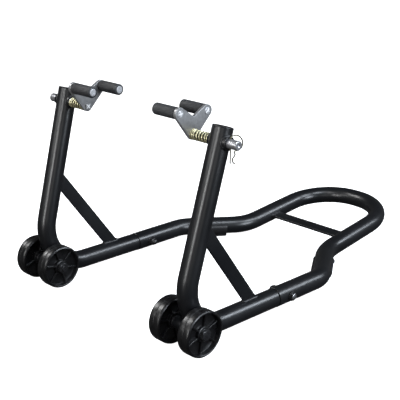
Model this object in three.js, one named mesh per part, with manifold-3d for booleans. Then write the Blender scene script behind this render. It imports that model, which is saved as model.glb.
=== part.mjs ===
// Front paddock stand: a bent steel tube frame on four small wheels, with two sprung,
// swivelling V cradles that carry the motorcycle's fork legs.
// Units are millimetres. +Z is up, +X runs across the stand, and +Y runs from the wheels
// in front to the lifting handle behind. Z = 0 is the floor.

import * as THREE from 'three';
import { mergeVertices } from 'three/addons/utils/BufferGeometryUtils.js';
import Module from 'manifold-3d';

const wasm = await Module();
wasm.setup();

// ------------------------------------------------------------------ driving dimensions

const GAP = 0.3;                 // clearance between touching pieces
const FRAME_SHIFT_Y = -367.37;   // brings the middle of the stand's length to the origin

// Side frames: one bent tube each, with the upright in front and the rail near the floor.
const TUBE_R = 17.5;
const WALL = 2.0;
const TUBE_SIDES = 16;
const SIDE_BEND_R = 80;
const SIDE_CORNER = new THREE.Vector3(190.4, 0, 22.4);   // where the straight runs would meet
const UPRIGHT_TOP = new THREE.Vector3(200.8, 92.8, 363.1);
const NECK_R = 15.7;             // swaged rail end inside the handle tube
const NECK_START_Y = 237;
const NECK_END_Y = 300;
const CAP_THICK = 1.6;

// Handle: one tube bent into a U and slipped over both rail ends.
const HANDLE_R = 18.0;
const HANDLE_START_Y = 239;
const S_BEND_OUTER = new THREE.Vector3(190.4, 372.2, 22.7);
const S_BEND_INNER = new THREE.Vector3(109.6, 487.7, 21.0);
const HANDLE_END = new THREE.Vector3(102.6, 734.0, 51.9); // corner of the round end
const S_OUTER_BEND_R = 60;
const S_INNER_BEND_R = 100;
const END_BEND_R = 100;

// Bolts that lock the handle to the rails.
const JOINT_BOLT_Y = 268.5;
const JOINT_BOLT_R = 4;
const JOINT_HEX = 13;            // across flats
const JOINT_WASHER_R = 9;
const JOINT_WASHER_THICK = 1.6;
const JOINT_HEAD_HEIGHT = 5.3;
const JOINT_NUT_HEIGHT = 13.5;   // cap nut: a hexagon with a dome on it
const JOINT_NUT_HEX_HEIGHT = 7;
const JOINT_THREAD = 9;          // thread inside the cap nut

// Flat bars.
const BRACE_WIDTH = 25;
const BRACE_THICK = 5;
const BRACE_TOP = { y: 62, z: 191 };      // centre of the bar at the upright
const BRACE_FOOT = { y: 172, z: 44 };     // centre of the bar at the rail
const CROSS_Y = 563.5;                    // middle of the handle's cross bar
const CROSS_WIDTH = 25;
const CROSS_THICK = 5;

// Foot pads under the S-bends.
const FOOT_START = 28;           // along the S-bend's straight run
const FOOT_LENGTH = 68;
const FOOT_R = 20.6;
const FOOT_LIP = 5;              // top of the saddle above the tube's axis
const FOOT_SOLE = 26;            // width of the flat sole
const FOOT_SCREW_AT = 60;        // along the foot

// Wheels and axles.
const WHEEL_R = 40;
const WHEEL_WIDTH = 24.7;
const WHEEL_OFFSET = 34.3;       // wheel centre from the side tube's centre plane
const AXLE_CENTRE = new THREE.Vector3(SIDE_CORNER.x, 22.8, WHEEL_R);
const AXLE_R = 6;
const AXLE_HEX = 18;
const BOSS_R = 10.5;
const HUB_R = 13;
const HUB_RECESS = 2.6;
const WHEEL_RIBS = 6;
const WHEEL_SIDES = 24;

// Cradles: positions along X are from the stand's middle, radii from the stem's axis.
const STEM_FROM_TOP = 24.4;      // stem axis, measured down the upright from its top
const STEM_R = 7.75;
const STEM_NECK_R = 6.4;         // thinner end, inside the spring and through the plate
const STEM_INNER_X = 132.8;
const STEM_OUTER_X = 241.5;
const SLEEVE_R = 11.4;
const SLEEVE_INNER_X = 181.4;
const SLEEVE_OUTER_X = 221.6;
const CLIP_X = 223.4;
const CLIP_WIRE_R = 1.1;
const PLATE_INNER_X = 134.3;
const PLATE_THICK = 6;
const PLATE_TILT = THREE.MathUtils.degToRad(3);
const PLATE_FOOT_R = 9.5;
const PEG_REACH = 46.3;          // peg axis from the stem axis
const PEG_SPREAD = THREE.MathUtils.degToRad(40.1);
const PEG_TIP_R = 10.2;
const NOTCH_Z = 28.5;
const NOTCH_HALF = 3;
const PIN_R = 6.5;
const PIN_END_X = 81.6;
const PIN_SHANK_R = 4;
const PIN_HEAD = 0.9;
const RUBBER_R = 10;
const RUBBER_END_X = 82.4;
const SEAT_R = 9.3;
const SEAT_THICK = 1.2;
const SPRING_R = 7.95;
const SPRING_WIRE_R = 1.2;
const SPRING_TURNS = 7;
const SPRING_TURN_STEPS = 16;

// ------------------------------------------------------------------ materials

const finishes = {
  frame: { color: 0x1b1b1c, roughness: 0.42, metalness: 0.35 },
  plastic: { color: 0x111112, roughness: 0.5, metalness: 0.0 },
  rubber: { color: 0x2b2b2d, roughness: 0.85, metalness: 0.0 },
  zinc: { color: 0xb9bcc0, roughness: 0.32, metalness: 1.0 },
  passivate: { color: 0xb6ac78, roughness: 0.3, metalness: 1.0 },
  darkSteel: { color: 0x2e2e30, roughness: 0.4, metalness: 0.8 },
};

// ------------------------------------------------------------------ solid helpers

// A three.js geometry as a manifold solid.
function solid(geometry) {
  const bare = geometry.clone();
  bare.deleteAttribute('normal');
  bare.deleteAttribute('uv');
  const merged = mergeVertices(bare);
  const corners = merged.index.array;
  const triVerts = [];
  for (let i = 0; i < corners.length; i += 3) {
    const [a, b, c] = corners.slice(i, i + 3);
    if (a !== b && b !== c && c !== a) triVerts.push(a, b, c);
  }
  return new wasm.Manifold(new wasm.Mesh({
    numProp: 3,
    vertProperties: Float32Array.from(merged.attributes.position.array),
    triVerts: Uint32Array.from(triVerts),
  }));
}

// A manifold solid as a three.js geometry.
function surface(manifold) {
  const { vertProperties, triVerts } = manifold.getMesh();
  const geometry = new THREE.BufferGeometry();
  geometry.setAttribute('position', new THREE.BufferAttribute(Float32Array.from(vertProperties), 3));
  geometry.setIndex(new THREE.BufferAttribute(Uint32Array.from(triVerts), 1));
  geometry.computeVertexNormals();
  return geometry;
}

function cut(geometry, ...tools) {
  return surface(tools.reduce((rest, tool) => rest.subtract(solid(tool)), solid(geometry)));
}

function join(geometry, ...others) {
  return surface(others.reduce((whole, other) => whole.add(solid(other)), solid(geometry)));
}

// The largest piece that is left once the tools are cut away.
function largestAfterCut(geometry, ...tools) {
  const rest = tools.reduce((left, tool) => left.subtract(solid(tool)), solid(geometry));
  return surface(rest.decompose().reduce((best, piece) => (piece.volume() > best.volume() ? piece : best)));
}

// The same shape on the other side of the X = 0 plane, with its faces still outward.
function mirrored(geometry) {
  const copy = mergeVertices(geometry).scale(-1, 1, 1);
  const corners = copy.index.array;
  for (let i = 0; i < corners.length; i += 3) {
    [corners[i + 1], corners[i + 2]] = [corners[i + 2], corners[i + 1]];
  }
  copy.computeVertexNormals();
  return copy;
}

// ------------------------------------------------------------------ shape helpers

// A centreline of straight runs joined by round bends. Its stations lie only at the ends
// and in the bends, so a sweep along it spends no faces on the straight runs.
class BentRoute extends THREE.Curve {
  constructor(corners, radii = [], stepDegrees = 13) {
    super();
    this.stations = [];
    this.addStation(corners[0], corners[1].clone().sub(corners[0]).normalize());
    radii.forEach((radius, i) => {
      this.addBend(corners[i], corners[i + 1], corners[i + 2], radius, THREE.MathUtils.degToRad(stepDegrees));
    });
    const [beforeLast, last] = corners.slice(-2);
    this.addStation(last, last.clone().sub(beforeLast).normalize());
  }

  addStation(point, tangent) {
    this.stations.push({ point, tangent });
  }

  addBend(before, corner, after, radius, stepAngle) {
    const inward = corner.clone().sub(before).normalize();
    const outward = after.clone().sub(corner).normalize();
    const turn = inward.angleTo(outward);
    const start = corner.clone().addScaledVector(inward, -radius * Math.tan(turn / 2));
    const toCentre = outward.clone().addScaledVector(inward, -outward.dot(inward)).normalize();
    const steps = Math.max(2, Math.round(turn / stepAngle));
    for (let k = 0; k <= steps; k += 1) {
      const angle = (turn * k) / steps;
      const point = start.clone()
        .addScaledVector(inward, radius * Math.sin(angle))
        .addScaledVector(toCentre, radius * (1 - Math.cos(angle)));
      const tangent = inward.clone()
        .multiplyScalar(Math.cos(angle))
        .addScaledVector(toCentre, Math.sin(angle));
      this.addStation(point, tangent);
    }
  }

  get steps() {
    return this.stations.length - 1;
  }

  getPointAt(u) {
    return this.stations[Math.round(u * this.steps)].point.clone();
  }

  getTangentAt(u) {
    return this.stations[Math.round(u * this.steps)].tangent.clone();
  }
}

function discShape(radius, holeRadius = 0) {
  const shape = new THREE.Shape().absarc(0, 0, radius, 0, Math.PI * 2, false);
  if (holeRadius > 0) shape.holes.push(new THREE.Path().absarc(0, 0, holeRadius, 0, Math.PI * 2, true));
  return shape;
}

// A round bar, or a tube with a hole, swept along a route.
function swept(route, { radius, holeRadius = 0, sides = TUBE_SIDES, steps = route.steps }) {
  return new THREE.ExtrudeGeometry(discShape(radius, holeRadius), {
    steps, curveSegments: sides / 2, extrudePath: route,
  });
}

// A round bar along X from x0 to x1, centred on the X axis.
function barX(radius, x0, x1, sides = 20) {
  return new THREE.CylinderGeometry(radius, radius, x1 - x0, sides)
    .rotateZ(Math.PI / 2)
    .translate((x0 + x1) / 2, 0, 0);
}

// A round bar along Y from y0 to y1, through (x, z).
function barY(radius, y0, y1, x, z, sides = TUBE_SIDES) {
  return new THREE.CylinderGeometry(radius, radius, y1 - y0, sides).translate(x, (y0 + y1) / 2, z);
}

// A ring about the X axis.
function ringX(radius, holeRadius, x0, x1, sides = 20) {
  return new THREE.ExtrudeGeometry(discShape(radius, holeRadius), {
    depth: x1 - x0, bevelEnabled: false, curveSegments: sides / 2,
  }).rotateY(Math.PI / 2).translate(x0, 0, 0);
}

// A hexagon head or nut about the X axis.
function hexX(acrossFlats, x0, x1) {
  return barX(acrossFlats / Math.sqrt(3), x0, x1, 6);
}

// A closed profile of [radius, x] points turned about the X axis.
function turnedX(profile, sides) {
  const outline = profile.map(([radius, x]) => new THREE.Vector2(radius, x));
  return new THREE.LatheGeometry(outline, sides).rotateZ(-Math.PI / 2);
}

// Turns a shape built about the Y axis so that its +Y end looks along direction.
function alongDirection(geometry, direction) {
  return geometry.applyQuaternion(
    new THREE.Quaternion().setFromUnitVectors(new THREE.Vector3(0, 1, 0), direction),
  );
}

// ------------------------------------------------------------------ side frame

const uprightAxis = UPRIGHT_TOP.clone().sub(SIDE_CORNER).normalize();
const stemCentre = UPRIGHT_TOP.clone().addScaledVector(uprightAxis, -STEM_FROM_TOP);

function sideRoute(beyondTop, endY) {
  const top = UPRIGHT_TOP.clone().addScaledVector(uprightAxis, beyondTop);
  const end = new THREE.Vector3(SIDE_CORNER.x, endY, SIDE_CORNER.z);
  return new BentRoute([top, SIDE_CORNER, end], [SIDE_BEND_R]);
}

// Upright and rail in one bent tube, with a swaged neck that goes into the handle.
function sideTube() {
  const { x, z } = SIDE_CORNER;
  const outer = join(
    swept(sideRoute(-CAP_THICK - GAP, NECK_START_Y), { radius: TUBE_R }),
    barY(NECK_R, NECK_START_Y - 10, NECK_END_Y, x, z),
  );
  const bore = join(
    swept(sideRoute(10, NECK_START_Y - 10), { radius: TUBE_R - WALL }),
    barY(NECK_R - WALL, NECK_START_Y - 14, NECK_END_Y + 5, x, z),
  );
  return cut(
    outer,
    bore,
    barX(SLEEVE_R + GAP, x - 40, x + 50).translate(0, stemCentre.y, stemCentre.z),
    barX(BOSS_R + GAP, x - 40, x + 40).translate(0, AXLE_CENTRE.y, AXLE_CENTRE.z),
    barX(JOINT_BOLT_R + GAP, x - 40, x + 40, 12).translate(0, JOINT_BOLT_Y, z),
  );
}

// Moulded plug that closes the open top of the upright, with its top face at the origin.
function tubeCap() {
  const flange = new THREE.CylinderGeometry(TUBE_R - 0.8, TUBE_R - 0.1, CAP_THICK, TUBE_SIDES)
    .translate(0, -CAP_THICK / 2, 0);
  const spigotR = TUBE_R - WALL - GAP - 0.3;
  const spigot = new THREE.CylinderGeometry(spigotR, spigotR, 8, TUBE_SIDES)
    .translate(0, -CAP_THICK - 3.5, 0);
  return alongDirection(join(flange, spigot), uprightAxis);
}

// Diagonal flat bar between upright and rail, its ends cut to the tube.
function brace() {
  const inFrame = ({ y, z }) => new THREE.Vector3(
    SIDE_CORNER.x + ((z - SIDE_CORNER.z) * uprightAxis.x) / uprightAxis.z, y, z,
  );
  const top = inFrame(BRACE_TOP);
  const foot = inFrame(BRACE_FOOT);
  const along = foot.clone().sub(top).normalize();
  const across = new THREE.Vector3(1, 0, 0).cross(along).normalize();
  const normal = along.clone().cross(across);
  const bar = new THREE.BoxGeometry(top.distanceTo(foot) + 4 * TUBE_R, BRACE_WIDTH, BRACE_THICK)
    .applyMatrix4(new THREE.Matrix4().makeBasis(along, across, normal))
    .translate(...top.clone().lerp(foot, 0.5));
  return largestAfterCut(bar, swept(sideRoute(0, NECK_START_Y), { radius: TUBE_R + GAP }));
}

// Cross sleeve welded through the upright: the cradle's stem runs in it.
function stemSleeve() {
  return ringX(SLEEVE_R, STEM_R + GAP, SLEEVE_INNER_X, SLEEVE_OUTER_X);
}

// ------------------------------------------------------------------ handle

const onLeft = ({ x, y, z }) => new THREE.Vector3(-x, y, z);
const handleStart = new THREE.Vector3(SIDE_CORNER.x, HANDLE_START_Y, SIDE_CORNER.z);
const handleSlope = Math.atan2(HANDLE_END.z - S_BEND_INNER.z, HANDLE_END.y - S_BEND_INNER.y);

function handleRoute() {
  const right = [handleStart, S_BEND_OUTER, S_BEND_INNER, HANDLE_END];
  const left = right.map(onLeft).reverse();
  const radii = [S_OUTER_BEND_R, S_INNER_BEND_R, END_BEND_R, END_BEND_R, S_INNER_BEND_R, S_OUTER_BEND_R];
  return new BentRoute([...right, ...left], radii);
}

function handleTube() {
  const boltHole = (x) => barX(JOINT_BOLT_R + GAP, x - 40, x + 40, 12)
    .translate(0, JOINT_BOLT_Y, SIDE_CORNER.z);
  return cut(
    swept(handleRoute(), { radius: HANDLE_R, holeRadius: HANDLE_R - WALL }),
    boltHole(SIDE_CORNER.x),
    boltHole(-SIDE_CORNER.x),
  );
}

// Flat plate between the handle's sides, on the same slope as the tube.
function crossBar() {
  const z = S_BEND_INNER.z + (CROSS_Y - S_BEND_INNER.y) * Math.tan(handleSlope);
  const bar = new THREE.BoxGeometry(2 * S_BEND_INNER.x, CROSS_WIDTH, CROSS_THICK)
    .rotateX(handleSlope)
    .translate(0, CROSS_Y, z);
  return largestAfterCut(bar, swept(handleRoute(), { radius: HANDLE_R + GAP }));
}

// ------------------------------------------------------------------ foot pads

const footDirection = S_BEND_INNER.clone().sub(S_BEND_OUTER).normalize();
const footOutward = footDirection.clone().cross(new THREE.Vector3(0, 0, 1)).normalize();

function footPoint(along) {
  return S_BEND_OUTER.clone().addScaledVector(footDirection, FOOT_START + along);
}

function footScrewSeat() {
  return footPoint(FOOT_SCREW_AT).addScaledVector(footOutward, FOOT_R);
}

// Saddle-shaped foot under the handle tube: open at the top, flat on the floor.
function footPad() {
  const middle = footPoint(FOOT_LENGTH / 2);
  const heading = Math.atan2(footDirection.y, footDirection.x);
  const block = join(
    swept(new BentRoute([footPoint(0), footPoint(FOOT_LENGTH)]), { radius: FOOT_R, sides: 24 }),
    new THREE.BoxGeometry(FOOT_LENGTH - 0.5, FOOT_SOLE, FOOT_R)
      .rotateZ(heading)
      .translate(middle.x, middle.y, FOOT_R / 2 - 4),
  );
  const open = new THREE.BoxGeometry(2 * FOOT_LENGTH, 3 * FOOT_R, 2 * FOOT_R)
    .rotateZ(heading)
    .translate(middle.x, middle.y, middle.z + FOOT_R + FOOT_LIP);
  const floor = new THREE.BoxGeometry(4 * FOOT_LENGTH, 4 * FOOT_LENGTH, 20)
    .translate(middle.x, middle.y, -10);
  const screwHole = alongDirection(barY(2 + GAP, -8, 8, 0, 0, 12), footOutward)
    .translate(...footScrewSeat());
  return cut(block, swept(handleRoute(), { radius: HANDLE_R + GAP }), open, floor, screwHole);
}

// Pan-head screw through the foot's outer wall, with its head's underside at the origin.
function footScrew() {
  return alongDirection(join(
    new THREE.CylinderGeometry(2.2, 3.6, 1.7, 12).translate(0, 0.85, 0),
    new THREE.CylinderGeometry(2, 2, 3, 12).translate(0, -1, 0),
  ), footOutward);
}

// ------------------------------------------------------------------ handle joint fasteners
// Built about the bolt's axis, with x = 0 in the side tube's centre plane.

const jointFace = HANDLE_R + GAP;

function jointBolt() {
  const headStart = jointFace + JOINT_WASHER_THICK + GAP;
  return join(
    hexX(JOINT_HEX, headStart, headStart + JOINT_HEAD_HEIGHT),
    barX(JOINT_BOLT_R, -headStart - JOINT_THREAD, headStart + 1, 12),
  );
}

function jointWasher(side) {
  const [x0, x1] = [side * jointFace, side * (jointFace + JOINT_WASHER_THICK)].sort((a, b) => a - b);
  return ringX(JOINT_WASHER_R, JOINT_BOLT_R + GAP, x0, x1, 16);
}

// Cap nut with a blind hole.
function jointNut() {
  const x1 = -jointFace - JOINT_WASHER_THICK - GAP;
  const domeR = JOINT_HEX / 2 - 0.2;
  const domeEnd = x1 - JOINT_NUT_HEIGHT;
  const dome = new THREE.SphereGeometry(domeR, 16, 12).rotateZ(Math.PI / 2).translate(domeEnd + domeR, 0, 0);
  return cut(
    join(hexX(JOINT_HEX, x1 - JOINT_NUT_HEX_HEIGHT, x1), dome),
    barX(JOINT_BOLT_R + GAP, x1 - JOINT_THREAD - 1, x1 + 2, 12),
  );
}

// ------------------------------------------------------------------ wheels and axle
// Built about the axle, with x = 0 in the side tube's centre plane.

const halfWheel = WHEEL_WIDTH / 2;
const bossHalf = WHEEL_OFFSET - halfWheel - 1;
const hubFace = WHEEL_OFFSET + halfWheel - HUB_RECESS + GAP;  // where a head or nut bears

// Wheel with a rim, a thin web with ribs on both faces and a hub with a running bore.
function wheel() {
  const boreR = AXLE_R + 0.35;
  const webHalf = 3.5;
  const rimR = WHEEL_R - 5;
  const hubHalf = halfWheel - HUB_RECESS;
  const bevel = 2;
  const half = [
    [boreR, hubHalf],
    [HUB_R, hubHalf],
    [HUB_R, webHalf],
    [rimR, webHalf],
    [rimR, halfWheel],
    [WHEEL_R - bevel, halfWheel],
    [WHEEL_R, halfWheel - bevel],
  ];
  const otherHalf = half.map(([radius, x]) => [radius, -x]).reverse();
  const body = turnedX([...half, ...otherHalf, half[0]].reverse(), WHEEL_SIDES);
  const ribLength = rimR - HUB_R + 1;
  const ribs = Array.from({ length: WHEEL_RIBS }, (_, i) => (
    new THREE.BoxGeometry(WHEEL_WIDTH - 10, 3.6, ribLength)
      .translate(0, 0, (rimR + HUB_R) / 2)
      .rotateX(((i + 0.5) * 2 * Math.PI) / WHEEL_RIBS)
  ));
  return join(body, ...ribs);
}

// Short tube welded into the outside of the side tube's bend: the axle passes through it.
function axleBoss() {
  return ringX(BOSS_R, AXLE_R + GAP, -bossHalf, bossHalf);
}

// Spacer between the boss and a wheel's hub.
function axleSpacer(side) {
  const hubInnerFace = WHEEL_OFFSET - halfWheel + HUB_RECESS;
  const [x0, x1] = [side * (bossHalf + GAP), side * (hubInnerFace - GAP)].sort((a, b) => a - b);
  return ringX(BOSS_R - 0.5, AXLE_R + GAP, x0, x1);
}

function axleBolt() {
  return join(
    hexX(AXLE_HEX, hubFace, hubFace + 6.2),
    barX(AXLE_R, -hubFace - 9.4, hubFace + 1),
  );
}

function axleNut() {
  return cut(
    hexX(AXLE_HEX, -hubFace - 7.5, -hubFace),
    barX(AXLE_R + GAP, -hubFace - 10, -hubFace + 2),
  );
}

// ------------------------------------------------------------------ cradles
// Built about the stem's axis, with x measured from the stand's middle.

const plateOuterX = PLATE_INNER_X + PLATE_THICK;

function pegPlace(side) {
  return [0, side * PEG_REACH * Math.sin(PEG_SPREAD), PEG_REACH * Math.cos(PEG_SPREAD)];
}

// Outline of the V plate: a small circle at the stem, one at each peg, their common
// tangents as the outer edges, and a rounded notch between the pegs.
function plateOutline() {
  const across = PEG_REACH * Math.sin(PEG_SPREAD);
  const up = PEG_REACH * Math.cos(PEG_SPREAD);
  const outerNormal = -PEG_SPREAD - Math.asin((PEG_TIP_R - PLATE_FOOT_R) / PEG_REACH);
  const rise = up - NOTCH_Z;
  const innerNormal = Math.atan2(rise, across) + Math.PI - Math.acos(PEG_TIP_R / Math.hypot(across, rise));
  const notchSide = NOTCH_Z + NOTCH_HALF * Math.tan(innerNormal - Math.PI / 2);
  return new THREE.Shape()
    .absarc(0, 0, PLATE_FOOT_R, Math.PI - outerNormal, outerNormal, false)
    .absarc(across, up, PEG_TIP_R, outerNormal, innerNormal, false)
    .lineTo(NOTCH_HALF, notchSide)
    .quadraticCurveTo(0, NOTCH_Z, -NOTCH_HALF, notchSide)
    .absarc(-across, up, PEG_TIP_R, Math.PI - innerNormal, Math.PI - outerNormal, false);
}

function vPlate() {
  const toYZ = new THREE.Matrix4().makeBasis(
    new THREE.Vector3(0, 1, 0), new THREE.Vector3(0, 0, 1), new THREE.Vector3(1, 0, 0),
  );
  const blank = new THREE.ExtrudeGeometry(plateOutline(), {
    depth: PLATE_THICK, bevelEnabled: false, curveSegments: 8,
  }).applyMatrix4(toYZ).translate(PLATE_INNER_X, 0, 0);
  const pinHole = (side) => barX(PIN_SHANK_R + GAP, PLATE_INNER_X - 5, plateOuterX + 5, 16)
    .translate(...pegPlace(side));
  const stemHole = barX(STEM_NECK_R + GAP, PLATE_INNER_X - 5, plateOuterX + 5);
  return cut(blank, stemHole, pinHole(-1), pinHole(1));
}

function stem() {
  const profile = [
    [0, STEM_INNER_X],
    [STEM_NECK_R, STEM_INNER_X],
    [STEM_NECK_R, SLEEVE_INNER_X + 0.5],
    [STEM_R, SLEEVE_INNER_X + 1.5],
    [STEM_R, STEM_OUTER_X - 1.3],
    [STEM_R - 1.3, STEM_OUTER_X],
    [0, STEM_OUTER_X],
  ];
  const clipHole = new THREE.CylinderGeometry(CLIP_WIRE_R + GAP, CLIP_WIRE_R + GAP, 4 * STEM_R, 10)
    .rotateX(Math.PI / 2)
    .translate(CLIP_X, 0, 0);
  return cut(turnedX(profile, 20), clipHole);
}

// Washer between the plate and the spring.
function springSeat() {
  return ringX(SEAT_R, STEM_NECK_R + GAP, plateOuterX + GAP, plateOuterX + GAP + SEAT_THICK);
}

// Helix about X with one closed turn at each end.
class SpringRoute extends THREE.Curve {
  constructor(x0, x1) {
    super();
    this.x0 = x0;
    this.closedPitch = 2 * SPRING_WIRE_R + 0.25;
    this.openPitch = (x1 - x0 - 2 * this.closedPitch) / (SPRING_TURNS - 2);
  }

  getPoint(t) {
    const turn = t * SPRING_TURNS;
    const openTurns = THREE.MathUtils.clamp(turn - 1, 0, SPRING_TURNS - 2);
    const closedTurns = turn - openTurns;
    return new THREE.Vector3(
      this.x0 + closedTurns * this.closedPitch + openTurns * this.openPitch,
      SPRING_R * Math.cos(turn * 2 * Math.PI),
      SPRING_R * Math.sin(turn * 2 * Math.PI),
    );
  }
}

// Compression spring between the seat washer and the sleeve.
function spring() {
  const x0 = plateOuterX + 2 * GAP + SEAT_THICK + SPRING_WIRE_R;
  const x1 = SLEEVE_INNER_X - GAP - SPRING_WIRE_R;
  const steps = SPRING_TURNS * SPRING_TURN_STEPS;
  return swept(new SpringRoute(x0, x1), { radius: SPRING_WIRE_R, sides: 6, steps });
}

// Steel pin with a thinner shank that is riveted through the plate.
function pegPin() {
  const profile = [
    [0, PIN_END_X],
    [PIN_R - 0.8, PIN_END_X],
    [PIN_R, PIN_END_X + 0.8],
    [PIN_R, PLATE_INNER_X - GAP],
    [PIN_SHANK_R, PLATE_INNER_X - GAP],
    [PIN_SHANK_R, plateOuterX + PIN_HEAD],
    [0, plateOuterX + PIN_HEAD],
  ];
  return turnedX(profile, 16);
}

// Rubber sleeve over a pin, with rounded ends.
function pegRubber() {
  const innerR = PIN_R + GAP;
  const plateEnd = PLATE_INNER_X - 2 * GAP;
  const profile = [
    [innerR, RUBBER_END_X],
    [RUBBER_R - 1.6, RUBBER_END_X],
    [RUBBER_R, RUBBER_END_X + 1.8],
    [RUBBER_R, plateEnd - 1],
    [RUBBER_R - 1, plateEnd],
    [innerR, plateEnd],
    [innerR, RUBBER_END_X],
  ];
  return turnedX(profile, 16);
}

// R-clip: a straight leg through the stem's cross hole, and a leg that bows round the stem
// and ends in a waved tail.
function rClip() {
  const points = [
    [0, -31.8], [0, -10], [0, 4], [0, 8.2], [2, 10.8], [6.5, 12], [13.4, 11.6], [21, 8], [26.5, 1],
    [27.4, -5], [24.5, -10.5], [18, -13], [12, -13], [8.4, -14.8], [10.7, -18.3], [8.4, -22], [4.8, -25.5],
    [6, -30], [10, -34],
  ];
  const route = new THREE.CatmullRomCurve3(points.map(([y, z]) => new THREE.Vector3(CLIP_X, y, z)));
  return swept(route, { radius: CLIP_WIRE_R, sides: 6, steps: 34 });
}

// ------------------------------------------------------------------ assembly

const stand = new THREE.Group();
const frame = new THREE.Group();
frame.position.y = FRAME_SHIFT_Y;
stand.add(frame);

function group(parent, position = new THREE.Vector3()) {
  const child = new THREE.Group();
  child.position.copy(position);
  parent.add(child);
  return child;
}

function add(parent, name, geometry, finish, position = [0, 0, 0]) {
  const mesh = new THREE.Mesh(geometry, new THREE.MeshStandardMaterial(finishes[finish]));
  mesh.name = name;
  mesh.position.set(...position);
  parent.add(mesh);
}

// One side of the stand: shapes are drawn for +X and mirrored for -X.
function addSide(side, suffix) {
  const piece = (parent, name, geometry, finish, [x, y, z] = [0, 0, 0]) => {
    const shape = side > 0 ? geometry : mirrored(geometry);
    add(parent, `${name}_${suffix}`, shape, finish, [side * x, y, z]);
  };
  const at = ({ x, y, z }) => new THREE.Vector3(side * x, y, z);

  piece(frame, 'side_tube', sideTube(), 'frame');
  piece(frame, 'brace', brace(), 'frame');
  piece(frame, 'tube_cap', tubeCap(), 'plastic', [...UPRIGHT_TOP]);
  piece(frame, 'foot_pad', footPad(), 'rubber');
  const screwPlace = footScrewSeat().addScaledVector(footOutward, GAP);
  piece(frame, 'foot_screw', footScrew(), 'darkSteel', [...screwPlace]);

  const joint = group(frame, at({ x: SIDE_CORNER.x, y: JOINT_BOLT_Y, z: SIDE_CORNER.z }));
  piece(joint, 'joint_bolt', jointBolt(), 'darkSteel');
  piece(joint, 'joint_washer_outer', jointWasher(1), 'darkSteel');
  piece(joint, 'joint_washer_inner', jointWasher(-1), 'darkSteel');
  piece(joint, 'joint_nut', jointNut(), 'darkSteel');

  const axle = group(frame, at(AXLE_CENTRE));
  piece(axle, 'axle_boss', axleBoss(), 'frame');
  piece(axle, 'axle_bolt', axleBolt(), 'darkSteel');
  piece(axle, 'axle_nut', axleNut(), 'darkSteel');
  piece(axle, 'axle_spacer_outer', axleSpacer(1), 'darkSteel');
  piece(axle, 'axle_spacer_inner', axleSpacer(-1), 'darkSteel');
  piece(axle, 'wheel_outer', wheel(), 'plastic', [WHEEL_OFFSET, 0, 0]);
  piece(axle, 'wheel_inner', wheel(), 'plastic', [-WHEEL_OFFSET, 0, 0]);

  const cradle = group(frame, new THREE.Vector3(0, stemCentre.y, stemCentre.z));
  piece(cradle, 'stem_sleeve', stemSleeve(), 'frame');
  piece(cradle, 'stem', stem(), 'zinc');
  piece(cradle, 'spring', spring(), 'passivate');
  piece(cradle, 'spring_seat', springSeat(), 'passivate');
  piece(cradle, 'r_clip', rClip(), 'passivate');

  const head = group(cradle);
  head.rotation.x = -PLATE_TILT;
  piece(head, 'v_plate', vPlate(), 'zinc');
  piece(head, 'pin_front', pegPin(), 'zinc', pegPlace(-1));
  piece(head, 'pin_rear', pegPin(), 'zinc', pegPlace(1));
  piece(head, 'rubber_front', pegRubber(), 'rubber', pegPlace(-1));
  piece(head, 'rubber_rear', pegRubber(), 'rubber', pegPlace(1));
}

addSide(1, 'right');
addSide(-1, 'left');
add(frame, 'handle_tube', handleTube(), 'frame');
add(frame, 'cross_bar', crossBar(), 'frame');

export default stand;
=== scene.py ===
"""Looks of a front paddock stand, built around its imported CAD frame. Units are metres."""

import math

import bpy
from mathutils import Matrix, Vector


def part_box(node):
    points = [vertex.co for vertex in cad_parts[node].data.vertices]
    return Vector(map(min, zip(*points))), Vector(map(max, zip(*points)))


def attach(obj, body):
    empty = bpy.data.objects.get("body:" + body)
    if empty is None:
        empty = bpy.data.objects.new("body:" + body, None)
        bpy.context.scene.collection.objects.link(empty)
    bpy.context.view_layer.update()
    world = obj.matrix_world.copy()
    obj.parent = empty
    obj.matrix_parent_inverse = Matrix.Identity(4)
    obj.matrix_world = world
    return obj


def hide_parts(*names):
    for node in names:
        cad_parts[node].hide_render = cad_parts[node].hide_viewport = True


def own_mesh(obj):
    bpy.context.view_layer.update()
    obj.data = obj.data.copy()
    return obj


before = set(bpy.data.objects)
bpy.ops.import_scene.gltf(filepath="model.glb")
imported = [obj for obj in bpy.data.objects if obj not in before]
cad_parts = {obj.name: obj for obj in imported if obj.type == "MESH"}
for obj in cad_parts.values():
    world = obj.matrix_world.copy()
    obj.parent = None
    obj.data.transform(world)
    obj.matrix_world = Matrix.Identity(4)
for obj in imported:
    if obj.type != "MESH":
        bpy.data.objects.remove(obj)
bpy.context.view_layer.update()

# ---------------------------------------------------------------- places from the frame

SIDES = {"right": 1, "left": -1}


def centre(node):
    low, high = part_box(node)
    return (low + high) / 2


def half_size(node):
    low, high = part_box(node)
    return (high - low) / 2


AXLE = centre("axle_boss_right")
STEM = centre("stem_sleeve_right")
CRADLE = Vector((0, STEM.y, STEM.z))
JOINT = Vector((AXLE.x, centre("joint_nut_right").y, centre("joint_nut_right").z))
RAIL_X, RAIL_Z = AXLE.x, JOINT.z
JOINT_FROM_CORNER = 0.2685
CORNER_Y = JOINT.y - JOINT_FROM_CORNER

# ---------------------------------------------------------------- driving dimensions

X_AXIS = Vector((1, 0, 0))
POLE = 1e-5                           # stands for zero radius in turned profiles
CLEARANCE = 0.0003                    # between a bore and what runs in it
TUBE_WALL = 0.002
SOFT_EDGE = 0.0005                    # rounding of a cut tube's rim
FASTENER_EDGE = 0.0003                # chamfer on flanges and shanks

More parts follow.
